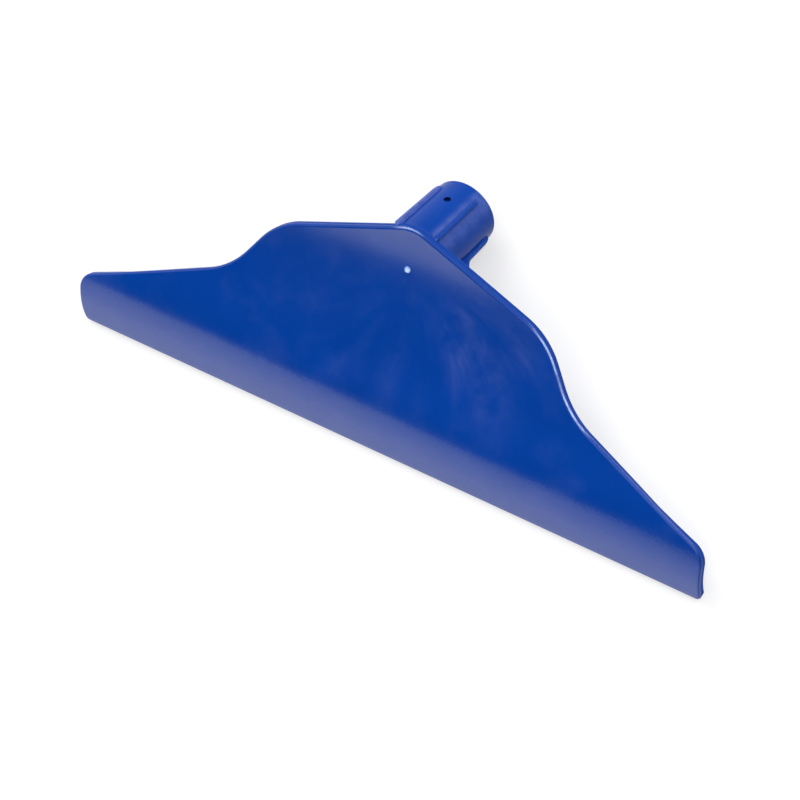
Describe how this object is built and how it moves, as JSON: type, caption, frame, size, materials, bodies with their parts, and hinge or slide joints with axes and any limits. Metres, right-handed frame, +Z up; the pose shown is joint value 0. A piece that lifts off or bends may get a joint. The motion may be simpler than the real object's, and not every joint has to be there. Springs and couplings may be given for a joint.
{
  "type": "manure scraper",
  "caption": "Moulded plastic manure scraper head: a bowed, shouldered blade with a curled-back scraping lip and a ribbed, slanted socket behind the crown for a round handle.",
  "frame": {"origin": "on the ground, below the middle of the bounding box", "axes": "+X along the scraping edge to the right as seen from above, +Y from the scraping edge towards the handle socket, +Z up with the concave front of the blade upwards"},
  "size_m": [0.35, 0.1328, 0.0549],
  "materials": {
    "blue_polypropylene": "glossy as moulded, lightly scuffed",
    "whitened_polypropylene": "torn and stress-whitened"
  },
  "bodies": {
    "root": {"blade_plate": "blue_polypropylene", "scraping_lip": "blue_polypropylene", "handle_socket": "blue_polypropylene", "socket_rib_upper_right": "blue_polypropylene", "socket_rib_side_right": "blue_polypropylene", "socket_rib_under": "blue_polypropylene", "socket_rib_side_left": "blue_polypropylene", "socket_rib_upper_left": "blue_polypropylene", "gate_pip": "whitened_polypropylene"}
  },
  "joints": []
}
